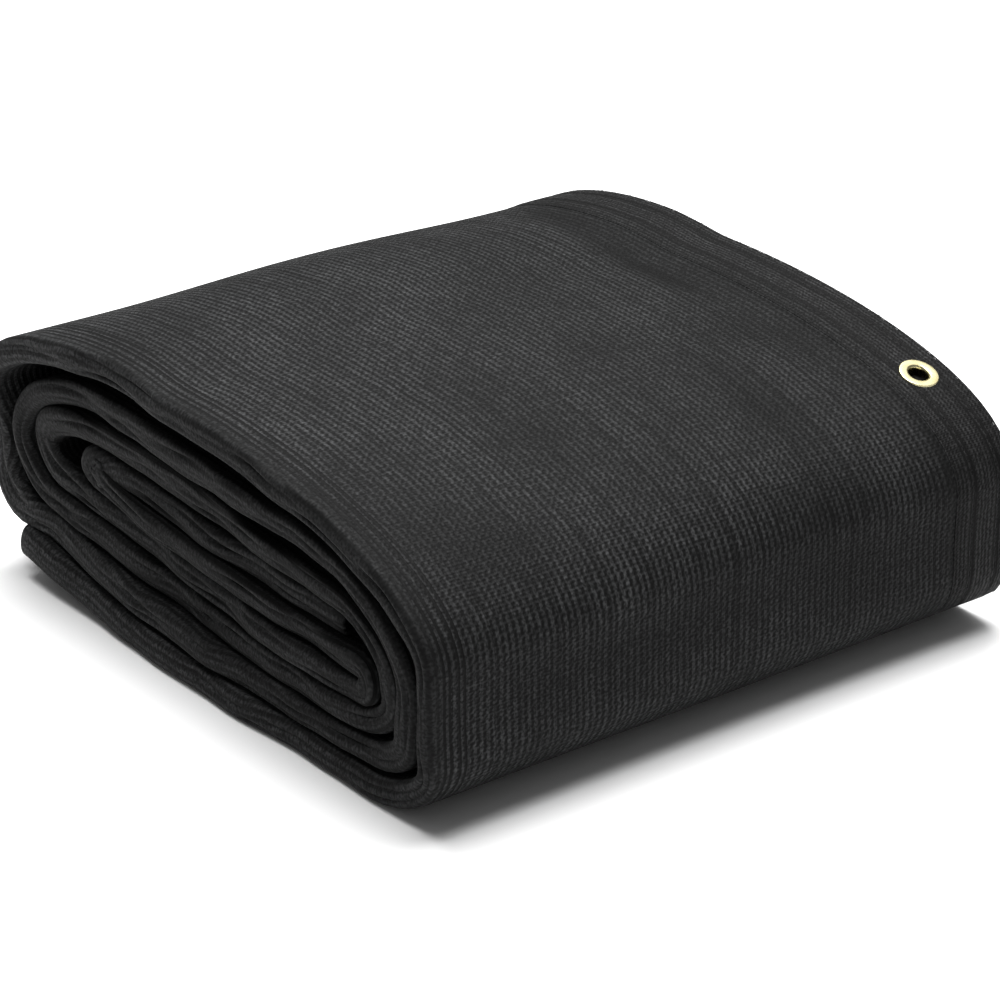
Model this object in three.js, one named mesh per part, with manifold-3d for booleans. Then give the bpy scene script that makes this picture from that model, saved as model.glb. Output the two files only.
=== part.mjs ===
// Container cover net: a black knitted net with a hemmed edge and a brass eyelet, folded lengthwise
// into four plies and wound flat into a bundle.
//
// Millimetres, +Z up. X runs along the winding axis, from the rounded folds at the near end (-X) to
// the hemmed edge at the far end (+X). The smooth rounded front faces -Y. The origin is the middle of
// the bundle's underside.

import * as THREE from 'three';
import { mergeVertices } from 'three/addons/utils/BufferGeometryUtils.js';
import Module from 'manifold-3d';

// Cloth
const SHEET = 2.0; // thickness of one ply of the knitted net
const BUNDLE_DEPTH = 390; // along the winding axis, from the near folds to the hemmed edge
const CLEARANCE = 0.3; // between two pieces that touch

// Hem along the edge of the outermost ply, doubled cloth, and the stretch of it that is a piece here
const HEM_WIDTH = 38;
const HEM_THICKNESS = 2.4;
const HEM_LIFT = 0.6; // how much further out its underside lies than the ply's
const HEM_FROM_HEIGHT = 22; // of the band's middle, where the hem's stretch starts at the front
const HEM_TO_HEIGHT = 128; // and where it ends at the back
const HEM_EDGE_SIDES = 4;

// Eyelet: domed flange on top of the hem, barrel through it, washer and rolled lip below it
const EYELET_ACROSS_Y = -150; // where on the rounded front of the top it sits
const EYELET_FROM_EDGE = 20.5;
const EYELET_HOLE_R = 6;
const EYELET_WALL = 0.8;
const EYELET_FLANGE_R = 11.25;
const EYELET_DOME = 1.7;
const EYELET_LIP = 0.7;
const EYELET_LIP_REACH = 1.4;
const WASHER_R = 11;
const WASHER_THICKNESS = 1;
const ROUND_SIDES = 32;
const DOME_SIDES = 5;

// The winding: passes of the band across the bundle, from the loose outer end inwards, by turns from back
// to front and from front to back.
//   start, end  height of the band's middle where the pass starts and ends
//   bow         how far halfway along it lies above the straight line between those
//   pitch       from one ply of the band to the next
//   nose        how far the near folds lie in from the bundle's near end
const PASSES = [
  { start: 20, end: 7.45, bow: -9.3, pitch: 4.3, nose: 2 },
  { start: 151, end: 154.8, bow: 0.4, pitch: 4.3, nose: 0 },
  { start: 39, end: 23.4, bow: -6.6, pitch: 3.8, nose: 5 },
  { start: 122, end: 130, bow: 1.6, pitch: 3.8, nose: 3 },
  { start: 57, end: 38, bow: -8, pitch: 3.6, nose: 9 },
  { start: 96, end: 110, bow: 1.6, pitch: 3.6, nose: 7 },
  { start: 73, end: 52, bow: -7.1, pitch: 3.5, nose: 10 },
  { start: 66.4, end: 81.6, bow: -3.8, pitch: 3.3, nose: 6 },
  { start: 95.8, end: 80.6, bow: -1.5, pitch: 3.3, nose: 11 },
];

// The bend after each pass but the last.
//   reach        Y of its furthest point
//   from, to     heights between which it runs straight up or down there
//   entry, exit  how long its two round quarters are in Y
//   pitch        from ply to ply there, drawn together or let loose
const BENDS = [
  { reach: -198.4, from: 42, to: 86, entry: 57, exit: 230, pitch: 2.7 },
  { reach: 196, from: 113, to: 62, entry: 124, exit: 40, pitch: 4 },
  { reach: -178, from: 46, to: 60, entry: 36, exit: 108, pitch: 4.6 },
  { reach: 177, from: 88, to: 88, entry: 85, exit: 40, pitch: 3.7 },
  { reach: -161, from: 62, to: 62, entry: 30, exit: 60, pitch: 3.5 },
  { reach: 158, from: 91, to: 91, entry: 40, exit: 28, pitch: 3.5 },
  { reach: -142, from: 59.2, to: 59.2, entry: 7.2, exit: 7.2, pitch: 3.4 },
  { reach: 112, from: 88.7, to: 88.7, entry: 7.1, exit: 7.1, pitch: 3.2 },
];
const LOOSE_END_Y = 178; // outer end of the winding, low at the back
const INNER_END_Y = -118; // inner end, in the core
const BEND_POWER = 0.96; // how full the bends are; 1 is an ellipse, less is squarer
const LIES_WITHIN = 0.3; // a turn this close to the floor lies on it
const PLIES = 4;
const OUTER_PLY = (PLIES - 1) / 2; // pitches from the band's middle to its outermost ply
const INNER_PLY = OUTER_PLY - 1; // and to the ply inside that one

// How finely the winding is stepped, and how uneven its two ends are
const LONGEST_STEP = 60;
const BEND_SIDES = 6; // facets of a quarter of a bend
const TIGHT_BEND = 15; // a quarter no longer than this has fewer
const TIGHT_BEND_SIDES = 4;
const PITCH_CHANGE = 1 / 3; // share of a quarter over which the plies draw together or part
const INNER_FOLD_RECESS = 6; // of the inner fold of a band, behind its outer fold
const FAR_UNEVEN = 5; // how far the inner plies' far edges lie in from the hemmed edge
const WAVES = [
  { size: 1.3, length: 230, shift: 0.4 },
  { size: 0.8, length: 91, shift: 2.1 },
];
const FOLD_SIDES = 4; // facets round a small fold
const NOSE_SIDES = 6; // facets round the band's outer fold

const wasm = await Module();
wasm.setup();

// Places on a pass, from its start to its end.
function passPlaces(pass, startY, endY) {
  const steps = Math.ceil(Math.abs(endY - startY) / LONGEST_STEP);
  return Array.from({ length: steps + 1 }, (_, index) => {
    const part = index / steps;
    const straight = THREE.MathUtils.lerp(pass.start, pass.end, part);
    const bow = 4 * pass.bow * part * (1 - part);
    const at = new THREE.Vector2(THREE.MathUtils.lerp(startY, endY, part), straight + bow);
    return { at, pitch: pass.pitch, nose: pass.nose };
  });
}

// Places on a round quarter of a bend, from just past the end of a pass at y and z to the furthest point.
function quarterPlaces(pass, y, z, bend, apex) {
  const sides = Math.abs(bend.reach - y) > TIGHT_BEND ? BEND_SIDES : TIGHT_BEND_SIDES;
  return Array.from({ length: sides }, (_, index) => {
    const part = (index + 1) / sides;
    const out = Math.sin((part * Math.PI) / 2) ** BEND_POWER;
    const back = Math.cos((part * Math.PI) / 2) ** BEND_POWER;
    const at = new THREE.Vector2(
      THREE.MathUtils.lerp(y, bend.reach, out),
      THREE.MathUtils.lerp(apex, z, back),
    );
    const change = Math.max(0, 1 - (1 - part) / PITCH_CHANGE);
    return { at, pitch: THREE.MathUtils.lerp(pass.pitch, bend.pitch, change), nose: pass.nose };
  });
}

// Places along the band's middle, from the loose end inwards.
function windingPlaces() {
  const places = [];
  let startY = LOOSE_END_Y;
  PASSES.forEach((pass, index) => {
    const bend = BENDS[index];
    const side = bend ? Math.sign(bend.reach) : 0;
    const endY = bend ? bend.reach - side * bend.entry : INNER_END_Y;
    places.push(...passPlaces(pass, startY, endY));
    if (!bend) return;
    const next = PASSES[index + 1];
    startY = bend.reach - side * bend.exit;
    const leaving = quarterPlaces(next, startY, next.start, bend, bend.to).reverse();
    if (bend.from === bend.to) leaving.shift();
    places.push(...quarterPlaces(pass, endY, pass.end, bend, bend.from), ...leaving);
  });
  return places;
}

// Steps along the winding: each has its place, its outward normal, and the band's pitch and near edge.
// Where the outer turn comes down to the floor it lies flat on it.
function windingSteps() {
  const floor = bandHalf(PASSES[0].pitch);
  const places = windingPlaces().map((place) => {
    const lies = place.at.y < floor + LIES_WITHIN;
    return { ...place, lies, at: lies ? place.at.setY(floor) : place.at };
  });
  let along = 0;
  return places.map(({ at, lies, pitch, nose }, index) => {
    const before = places[Math.max(0, index - 1)];
    const after = places[Math.min(places.length - 1, index + 1)];
    const ahead = after.at.clone().sub(at).normalize();
    const behind = at.clone().sub(before.at).normalize();
    const heading = ahead.add(behind).normalize();
    along += at.distanceTo(before.at);
    const out = new THREE.Vector2(-heading.y, heading.x);
    const height = lies ? -floor * out.y : at.y;
    const middle = new THREE.Vector2(at.x, height);
    return { at: middle, out, along, pitch, nose: (before.nose + nose + after.nose) / 3 };
  });
}

// Half the thickness of the folded band.
function bandHalf(pitch) {
  return OUTER_PLY * pitch + SHEET / 2;
}

// How far out from the band's middle the hem's underside lies.
function hemBase(pitch) {
  return OUTER_PLY * pitch - SHEET / 2 + HEM_LIFT;
}

// A slow unevenness along the winding.
function wave(along) {
  const one = ({ size, length, shift }) => size * Math.sin((2 * Math.PI * along) / length + shift);
  return WAVES.reduce((sum, row) => sum + one(row), 0);
}

// Points on a fold round (x, n), from one angle to another, each with the heading there.
function foldPoints(x, n, radius, from, to, sides) {
  const turn = Math.sign(to - from) * Math.PI / 2;
  return Array.from({ length: sides + 1 }, (_, index) => {
    const angle = THREE.MathUtils.lerp(from, to, index / sides);
    return { x: x + radius * Math.cos(angle), n: n + radius * Math.sin(angle), heading: angle + turn };
  });
}

// The folded sheet across the band, as a closed outline in x and n, the distance out from the band's
// middle. The net is folded in half twice: the outermost ply goes round the near end into the innermost,
// that goes round the far end into the third, and the third goes round the near end into the second.
function bandOutline(step) {
  const { pitch, nose, along } = step;
  const near = -BUNDLE_DEPTH / 2 + nose + wave(along);
  const far = BUNDLE_DEPTH / 2 - FAR_UNEVEN + wave(along + BUNDLE_DEPTH);
  const inner = INNER_PLY * pitch;
  const outer = OUTER_PLY * pitch;
  const noseX = near + SHEET / 2 + outer;
  const farFoldX = far - SHEET / 2 - inner;
  const up = Math.PI / 2;
  const down = 3 * up;
  const middle = [
    { x: far - FAR_UNEVEN, n: inner, heading: Math.PI },
    ...foldPoints(noseX + INNER_FOLD_RECESS, 0, inner, up, down, FOLD_SIDES),
    ...foldPoints(farFoldX, -pitch, inner, up, -up, FOLD_SIDES),
    ...foldPoints(noseX, 0, outer, down, up, NOSE_SIDES),
    { x: BUNDLE_DEPTH / 2, n: outer, heading: 0 },
  ];
  const side = (offset) =>
    middle.map(({ x, n, heading }) => [x - offset * Math.sin(heading), n + offset * Math.cos(heading)]);
  return [...side(-SHEET / 2), ...side(SHEET / 2).reverse()];
}

// The hem across the band: doubled cloth with a rounded outer edge.
function hemOutline(step) {
  const low = hemBase(step.pitch);
  const radius = HEM_THICKNESS / 2;
  const edgeX = BUNDLE_DEPTH / 2 - radius;
  const edge = foldPoints(edgeX, low + radius, radius, -Math.PI / 2, Math.PI / 2, HEM_EDGE_SIDES);
  const inner = BUNDLE_DEPTH / 2 - HEM_WIDTH;
  return [[inner, low], ...edge.map(({ x, n }) => [x, n]), [inner, low + HEM_THICKNESS]];
}

// The room that the hem takes out of the outermost ply, open at the far end and on the outside.
function hemRoomOutline(step) {
  const inner = BUNDLE_DEPTH / 2 - HEM_WIDTH - CLEARANCE;
  const outer = BUNDLE_DEPTH / 2 + HEM_WIDTH;
  const low = step.pitch;
  const high = OUTER_PLY * step.pitch + HEM_THICKNESS + SHEET;
  return [[inner, low], [outer, low], [outer, high], [inner, high]];
}

// A closed solid whose outline, given anticlockwise, is worked out at each step of the winding.
function sweep(steps, outlineAt) {
  const outlines = steps.map(outlineAt);
  const count = outlines[0].length;
  const positions = [];
  steps.forEach(({ at, out }, index) => {
    outlines[index].forEach(([x, n]) => positions.push(x, at.x + n * out.x, at.y + n * out.y));
  });
  const faces = [];
  for (let row = 0; row + 1 < steps.length; row++) {
    for (let point = 0; point < count; point++) {
      const a = row * count + point;
      const b = row * count + ((point + 1) % count);
      faces.push([a, b + count, b], [a, a + count, b + count]);
    }
  }
  const cap = (row) => {
    const contour = outlines[row].map(([x, n]) => new THREE.Vector2(x, n));
    const capFaces = THREE.ShapeUtils.triangulateShape(contour, []);
    return capFaces.map((face) => face.map((point) => point + row * count));
  };
  faces.push(...cap(0));
  faces.push(...cap(steps.length - 1).map(([a, b, c]) => [c, b, a]));
  const geometry = new THREE.BufferGeometry();
  geometry.setAttribute('position', new THREE.Float32BufferAttribute(positions, 3));
  geometry.setIndex(faces.flat());
  return geometry;
}

function toSolid(geometry) {
  const bare = geometry.clone();
  bare.deleteAttribute('normal');
  bare.deleteAttribute('uv');
  const merged = mergeVertices(bare);
  return new wasm.Manifold(new wasm.Mesh({
    numProp: 3,
    vertProperties: new Float32Array(merged.attributes.position.array),
    triVerts: new Uint32Array(merged.index.array),
  }));
}

function fromSolid(solid) {
  const { vertProperties, triVerts } = solid.getMesh();
  const geometry = new THREE.BufferGeometry();
  geometry.setAttribute('position', new THREE.Float32BufferAttribute(vertProperties, 3));
  geometry.setIndex(Array.from(triVerts));
  return geometry;
}

// The stretch of the winding along which the hem is a piece, with the same steps as the net.
function hemSteps(steps) {
  const first = steps.findIndex(({ at }) => at.x < 0 && at.y >= HEM_FROM_HEIGHT);
  const top = steps.findIndex(({ at }, index) => index > first && at.x > 0);
  const end = steps.findIndex(({ at }, index) => index > top && at.y <= HEM_TO_HEIGHT);
  return steps.slice(first, end + 1);
}

// The same stretch, a clearance longer at both ends.
function withClearance(steps) {
  const beyond = (end, next) => {
    const away = end.at.clone().sub(next.at).setLength(CLEARANCE);
    return { ...end, at: end.at.clone().add(away) };
  };
  const inner = steps.slice(1, -1);
  return [beyond(steps[0], steps[1]), ...inner, beyond(steps.at(-1), steps.at(-2))];
}

// The eyelet's place on the flat step of the hem's outer face that it lies on.
function eyeletSeat(steps) {
  const face = steps.map(({ at, out, pitch }) => {
    return at.clone().addScaledVector(out, hemBase(pitch) + HEM_THICKNESS);
  });
  const index = face.findIndex((at, step) => {
    return at.x <= EYELET_ACROSS_Y && face[step + 1]?.x > EYELET_ACROSS_Y;
  });
  const along = face[index + 1].clone().sub(face[index]);
  const share = (EYELET_ACROSS_Y - face[index].x) / along.x;
  const top = face[index].clone().addScaledVector(along, share);
  return { top, out: new THREE.Vector2(-along.y, along.x).normalize() };
}

// Turns a shape made round the Y axis, with the hem's outer face at zero, onto the eyelet's seat.
function onSeat(seat) {
  const axis = new THREE.Vector3(0, seat.out.x, seat.out.y);
  const across = new THREE.Vector3(1, 0, 0);
  const turned = new THREE.Matrix4().makeBasis(across, axis, across.clone().cross(axis));
  return turned.setPosition(BUNDLE_DEPTH / 2 - EYELET_FROM_EDGE, seat.top.x, seat.top.y);
}

// A ring turned from a closed profile of radii and heights.
function turnedRing(profile) {
  const points = profile.map(([radius, height]) => new THREE.Vector2(radius, height));
  const geometry = new THREE.LatheGeometry([...points, points[0]], ROUND_SIDES);
  return fromSolid(toSolid(geometry));
}

// The domed top of the flange, from its rim to the hole.
function domeProfile() {
  const middle = (EYELET_FLANGE_R + EYELET_HOLE_R) / 2;
  const half = (EYELET_FLANGE_R - EYELET_HOLE_R) / 2;
  return Array.from({ length: DOME_SIDES + 1 }, (_, index) => {
    const angle = (Math.PI * index) / DOME_SIDES;
    return [middle + half * Math.cos(angle), CLEARANCE + EYELET_DOME * Math.sin(angle)];
  });
}

function eyeletGeometry() {
  const barrelR = EYELET_HOLE_R + EYELET_WALL;
  const lipR = barrelR + EYELET_LIP_REACH;
  const lipTop = -(HEM_THICKNESS + WASHER_THICKNESS + 2 * CLEARANCE);
  const lipLow = lipTop - EYELET_LIP;
  return turnedRing([
    [EYELET_HOLE_R, lipLow],
    [lipR, lipLow],
    [lipR, lipTop],
    [barrelR, lipTop],
    [barrelR, CLEARANCE],
    ...domeProfile(),
  ]);
}

function washerGeometry() {
  const inner = EYELET_HOLE_R + EYELET_WALL + CLEARANCE;
  const top = -(HEM_THICKNESS + CLEARANCE);
  return turnedRing([
    [inner, top - WASHER_THICKNESS],
    [WASHER_R, top - WASHER_THICKNESS],
    [WASHER_R, top],
    [inner, top],
  ]);
}

// The hole through the hem that the eyelet's barrel fills.
function hemHoleGeometry() {
  const radius = EYELET_HOLE_R + EYELET_WALL + CLEARANCE;
  return new THREE.CylinderGeometry(radius, radius, 4 * HEM_THICKNESS, ROUND_SIDES);
}

function piece(name, geometry, material) {
  const mesh = new THREE.Mesh(geometry, new THREE.MeshStandardMaterial(material));
  mesh.name = name;
  return mesh;
}

const winding = windingSteps();
const hemStretch = hemSteps(winding);
const seat = eyeletSeat(hemStretch);
const seatMatrix = onSeat(seat);

const hemRoom = toSolid(sweep(withClearance(hemStretch), hemRoomOutline));
const net = fromSolid(toSolid(sweep(winding, bandOutline)).subtract(hemRoom));
const hemHole = toSolid(hemHoleGeometry().applyMatrix4(seatMatrix));
const hem = fromSolid(toSolid(sweep(hemStretch, hemOutline)).subtract(hemHole));

const CLOTH = { color: 0x2b2c2d, roughness: 0.9, metalness: 0 };
const BRASS = { color: 0xd9c98f, roughness: 0.3, metalness: 1 };

const bundle = new THREE.Group();
bundle.add(piece('net', net, CLOTH));
bundle.add(piece('hem_strip', hem, CLOTH));
bundle.add(piece('eyelet', eyeletGeometry().applyMatrix4(seatMatrix), BRASS));
bundle.add(piece('eyelet_washer', washerGeometry().applyMatrix4(seatMatrix), BRASS));

// The origin goes to the middle of the underside.
const bounds = new THREE.Box3().setFromObject(bundle);
const middle = bounds.getCenter(new THREE.Vector3());
bundle.position.set(-middle.x, -middle.y, -bounds.min.z);

export default bundle;
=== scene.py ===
# %% [markdown]
# # A folded container cover net
# The net is knitted from black plastic yarn and has a hem with brass eyelets along its edge. It is folded
# in half twice, lengthwise, and wound flat into a bundle that lies on a floor. The CAD model has the true
# winding in coarse facets. This lesson lays a finer sheet on the same winding, sews the hem, turns the
# brass and knits the cloth with shader nodes.

# %% Load the frame
import math
from collections import namedtuple

import bmesh
import bpy
import numpy as np
from mathutils import Matrix, Vector


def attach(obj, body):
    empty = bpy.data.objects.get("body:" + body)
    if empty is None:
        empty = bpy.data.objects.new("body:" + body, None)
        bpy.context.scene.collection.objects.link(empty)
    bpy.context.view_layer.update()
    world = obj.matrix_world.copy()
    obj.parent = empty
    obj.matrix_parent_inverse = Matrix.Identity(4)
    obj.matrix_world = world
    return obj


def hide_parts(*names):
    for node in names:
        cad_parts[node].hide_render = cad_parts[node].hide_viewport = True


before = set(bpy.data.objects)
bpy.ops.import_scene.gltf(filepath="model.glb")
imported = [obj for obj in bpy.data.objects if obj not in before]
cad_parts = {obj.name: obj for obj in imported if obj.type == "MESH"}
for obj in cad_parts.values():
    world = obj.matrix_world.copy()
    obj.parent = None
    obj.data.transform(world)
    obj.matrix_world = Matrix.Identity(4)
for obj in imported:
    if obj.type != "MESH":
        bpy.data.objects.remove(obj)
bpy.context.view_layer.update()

MM = 0.001

# %% [markdown]
# ## Camera
# A long lens well away from the object keeps its edges nearly parallel, as in a catalogue picture. The
# camera could be placed by eye, but here it is set by the direction it looks from, the point it aims at
# and its distance, which are three things that can be measured.

# %% Camera
CAMERA_AZIMUTH = math.radians(-38.06)
CAMERA_ELEVATION = math.radians(23.98)
CAMERA_DISTANCE = 1.872
CAMERA_AIM = Vector((0.0073, -0.0016, 0.0562))
FOCAL_OVER_WIDTH = 3.4226
SENSOR_MM = 36


def linked(name, data):
    made = bpy.data.objects.new(name, data)
    bpy.context.scene.collection.objects.link(made)
    return made


camera = linked("camera", bpy.data.cameras.new("camera"))
backwards = Vector((
    math.sin(CAMERA_AZIMUTH) * math.cos(CAMERA_ELEVATION),
    -math.cos(CAMERA_AZIMUTH) * math.cos(CAMERA_ELEVATION),
    math.sin(CAMERA_ELEVATION),
))
camera.location = CAMERA_AIM + backwards * CAMERA_DISTANCE
camera.rotation_euler = (-backwards).to_track_quat("-Z", "Y").to_euler()
camera.data.sensor_fit = "HORIZONTAL"
camera.data.sensor_width = SENSOR_MM
camera.data.lens = SENSOR_MM * FOCAL_OVER_WIDTH
bpy.context.scene.camera = camera
print("camera at", [round(x, 3) for x in camera.location], "lens", round(camera.data.lens, 1), "mm")

# %% [markdown]
# ## Shader wiring
# Every finish here is worked out by nodes. Adding and joining nodes by hand takes many lines, so a small
# helper does it: a number given to an input is set on the socket, and an output given to it is linked.


# %% Helper for shader nodes
class Wiring:
    def __init__(self, name):
        self.material = bpy.data.materials.new(name)
        self.material.use_nodes = True
        self.nodes = self.material.node_tree.nodes
        self.links = self.material.node_tree.links
        self.shader = self.nodes["Principled BSDF"]

    def feed(self, socket, value):
        if isinstance(value, bpy.types.NodeSocket):
            self.links.new(value, socket)
        else:
            socket.default_value = value

    def node(self, kind, settings=None, **inputs):
        made = self.nodes.new(kind)
        for name, value in (settings or {}).items():
            setattr(made, name, value)
        for name, value in inputs.items():
            self.feed(made.inputs[name.replace("_", " ")], value)
        return made

    def math(self, operation, *values):
        made = self.nodes.new("ShaderNodeMath")
        made.operation = operation
        for socket, value in zip(made.inputs, values):
            self.feed(socket, value)
        return made.outputs[0]

    def step(self, value, low, high, to_low=0.0, to_high=1.0):
        made = self.node("ShaderNodeMapRange", {"interpolation_type": "SMOOTHSTEP"})
        for socket, number in zip(made.inputs, (value, low, high, to_low, to_high)):
            self.feed(socket, number)
        return made.outputs[0]

    def blend(self, share, first, second):
        made = self.node("ShaderNodeMix", {"data_type": "RGBA"})
        self.feed(made.inputs["Factor"], share)
        self.feed(made.inputs[6], first)
        self.feed(made.inputs[7], second)
        return made.outputs[2]

    def noise(self, vector, scale, detail=2.0):
        made = self.node("ShaderNodeTexNoise", Vector=vector, Scale=scale, Detail=detail)
        return made.outputs["Fac"]

    def mark(self, name):
        return self.node("ShaderNodeAttribute", {"attribute_name": name}).outputs["Fac"]

    def finish(self, **inputs):
        for name, value in inputs.items():
            self.feed(self.shader.inputs[name.replace("_", " ")], value)
        return self.material


def grey(value, blue=0.0):
    return (value * (1 - blue), value, value * (1 + blue), 1)


# %% [markdown]
# ## Floor and light
# The bundle stands on a plain pale floor under soft studio light. One large softbox hangs overhead, a little
# behind the bundle, and a second leans in from the back right, where the brass mirrors it. The front and the
# near end get only what the floor throws back, so they stay darker than the top.

# %% Floor
FLOOR_HALF = 6.0
FLOOR_BRIGHT = 0.9
FLOOR_MOTTLE = 1.02
FLOOR_MOTTLE_SCALE = 3.0
FLOOR_ROUGH = 0.8


def floor_finish():
    wiring = Wiring("pale_floor")
    place = wiring.node("ShaderNodeTexCoord").outputs["Object"]
    mottle = wiring.noise(place, FLOOR_MOTTLE_SCALE)
    tone = wiring.blend(mottle, grey(FLOOR_BRIGHT), grey(FLOOR_BRIGHT * FLOOR_MOTTLE))
    return wiring.finish(Base_Color=tone, Roughness=FLOOR_ROUGH)


shape = bmesh.new()
bmesh.ops.create_grid(shape, x_segments=2, y_segments=2, size=FLOOR_HALF)
floor_mesh = bpy.data.meshes.new("floor")
shape.to_mesh(floor_mesh)
shape.free()
floor = linked("floor", floor_mesh)
floor_mesh.materials.append(floor_finish())
print("floor", 2 * FLOOR_HALF, "m wide")

# %% Light
ROOM_LIGHT = 0.2
Softbox = namedtuple("Softbox", "name place size watts")
SOFTBOXES = (
    Softbox("softbox_overhead", Vector((0.15, 0.25, 2.2)), 1.8, 120),
    Softbox("softbox_behind", Vector((1.3, 0.5, 1.7)), 1.2, 6),
)

room = bpy.data.worlds.new("white_room")
room.use_nodes = True
background = room.node_tree.nodes["Background"]
background.inputs["Color"].default_value = (1, 1, 1, 1)
background.inputs["Strength"].default_value = ROOM_LIGHT
bpy.context.scene.world = room
bpy.context.scene.view_settings.view_transform = "Standard"

for row in SOFTBOXES:
    softbox = linked(row.name, bpy.data.lights.new(row.name, "AREA"))
    softbox.data.shape = "SQUARE"
    softbox.data.size = row.size
    softbox.data.energy = row.watts
    softbox.location = row.place
    softbox.rotation_euler = row.place.to_track_quat("Z", "Y").to_euler()
print("room light", ROOM_LIGHT, "and softboxes of", [row.watts for row in SOFTBOXES], "W")

# %% [markdown]
# ## The winding
# The folded band runs back and forth across the bundle, from its loose outer end to the core. Each pass is
# a shallow arc and each bend two rounded quarters. The two tables are the ones that the solid was made
# from, so the sheet lies where the solid lies. All their sizes are in millimetres.
#
# A pass has the heights of its two ends, how far it bows up, the pitch of its plies, and how far its near
# fold lies in from the bundle's end. A bend has how far it reaches, the heights at which its two quarters
# end there, the lengths of those quarters, and its pitch.

# %% Tables of the winding
Pass = namedtuple("Pass", "start end bow pitch nose")
PASSES = (
    Pass(20, 7.45, -9.3, 4.3, 2),
    Pass(151, 154.8, 0.4, 4.3, 0),
    Pass(39, 23.4, -6.6, 3.8, 5),
    Pass(122, 130, 1.6, 3.8, 3),
    Pass(57, 38, -8, 3.6, 9),
    Pass(96, 110, 1.6, 3.6, 7),
    Pass(73, 52, -7.1, 3.5, 10),
    Pass(66.4, 81.6, -3.8, 3.3, 6),
    Pass(95.8, 80.6, -1.5, 3.3, 11),
)
Bend = namedtuple("Bend", "reach rise_from rise_to entry exit pitch")
BENDS = (
    Bend(-198.4, 42, 86, 57, 230, 2.7),
    Bend(196, 113, 62, 124, 40, 4),
    Bend(-178, 46, 60, 36, 108, 4.6),
    Bend(177, 88, 88, 85, 40, 3.7),
    Bend(-161, 62, 62, 30, 60, 3.5),
    Bend(158, 91, 91, 40, 28, 3.5),
    Bend(-142, 59.2, 59.2, 7.2, 7.2, 3.4),
    Bend(112, 88.7, 88.7, 7.1, 7.1, 3.2),
)
LOOSE_END_Y = 178  # the outer end, low at the back
INNER_END_Y = -118  # the inner end, in the core
BEND_POWER = 0.96  # 1 is an ellipse, and less is squarer
PITCH_CHANGE = 1 / 3  # share of a quarter over which the plies draw together or part
SHEET = 2.0
BUNDLE_DEPTH = 390
OUTER_PLY = 1.5  # pitches from the band's middle to its outermost ply
INNER_PLY = 0.5
print(len(PASSES), "passes and", len(BENDS), "bends")

# %% Points along the band's middle
RUN_POINTS = 120


def lerp(first, second, part):
    return first + (second - first) * part


def pass_points(row, start_y, end_y):
    part = np.linspace(0, 1, RUN_POINTS)
    height = lerp(row.start, row.end, part) + 4 * row.bow * part * (1 - part)
    same = np.ones(RUN_POINTS)
    return np.column_stack([lerp(start_y, end_y, part), height, row.pitch * same, row.nose * same])


def quarter_points(row, y, z, bend, apex):
    part = np.linspace(0, 1, RUN_POINTS)[1:]
    out = np.sin(part * math.pi / 2) ** BEND_POWER
    back = np.cos(part * math.pi / 2).clip(0) ** BEND_POWER
    change = np.clip(1 - (1 - part) / PITCH_CHANGE, 0, 1)
    pitch = lerp(row.pitch, bend.pitch, change)
    return np.column_stack([lerp(y, bend.reach, out), lerp(apex, z, back), pitch, row.nose + 0 * part])


def winding_points():
    runs = []
    start_y = LOOSE_END_Y
    for index, row in enumerate(PASSES):
        bend = BENDS[index] if index < len(BENDS) else None
        side = math.copysign(1, bend.reach) if bend else 0
        end_y = bend.reach - side * bend.entry if bend else INNER_END_Y
        runs.append(pass_points(row, start_y, end_y))
        if bend:
            following = PASSES[index + 1]
            start_y = bend.reach - side * bend.exit
            runs.append(quarter_points(row, end_y, row.end, bend, bend.rise_from))
            runs.append(quarter_points(following, start_y, following.start, bend, bend.rise_to)[::-1])
    points = np.concatenate(runs)
    floor_height = OUTER_PLY * PASSES[0].pitch + SHEET / 2
    points[:, 1] = np.maximum(points[:, 1], floor_height)
    return points


points = winding_points()
print(len(points), "points along the band's middle")

# %% Even steps, softened, and then stations that are closer in the bends
EVEN_STEP = 0.5
SOFT_BEND = 2.0
SOFT_CHANGE = 14.0
SOFT_SPACING = 6
EVEN_STATIONS = 424
TURN_PER_STATION = 0.17
LEAST_TURNING = 1e-6  # keeps a straight stretch from dividing by nothing
SHORTEST, LONGEST = 1.8, 9.0


def soften(values, reach):
    half = int(3 * reach / EVEN_STEP)
    weights = np.exp(-0.5 * (np.arange(-half, half + 1) * EVEN_STEP / reach) ** 2)
    padded = np.pad(values, ((half, half), (0, 0)), mode="edge")
    columns = [np.convolve(column, weights / weights.sum(), mode="valid") for column in padded.T]
    return np.column_stack(columns)


gone = np.concatenate([[0], np.cumsum(np.linalg.norm(np.diff(points[:, :2], axis=0), axis=1))])
even = np.arange(0, gone[-1], EVEN_STEP)
path = np.column_stack([np.interp(even, gone, column) for column in points.T])
path = np.hstack([soften(path[:, :2], SOFT_BEND), soften(path[:, 2:], SOFT_CHANGE)])
heading = np.gradient(path[:, :2], axis=0)
heading /= np.linalg.norm(heading, axis=1)[:, None]
turning = np.abs(np.gradient(np.unwrap(np.arctan2(heading[:, 1], heading[:, 0])))) / EVEN_STEP
spacing = np.clip(TURN_PER_STATION / (turning + LEAST_TURNING), SHORTEST, LONGEST)
counted = np.cumsum(1 / soften(spacing[:, None], SOFT_SPACING)[:, 0])
along = np.interp(np.linspace(counted[0], counted[-1], EVEN_STATIONS), counted, even)
print("winding", round(even[-1]), "mm long")

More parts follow.
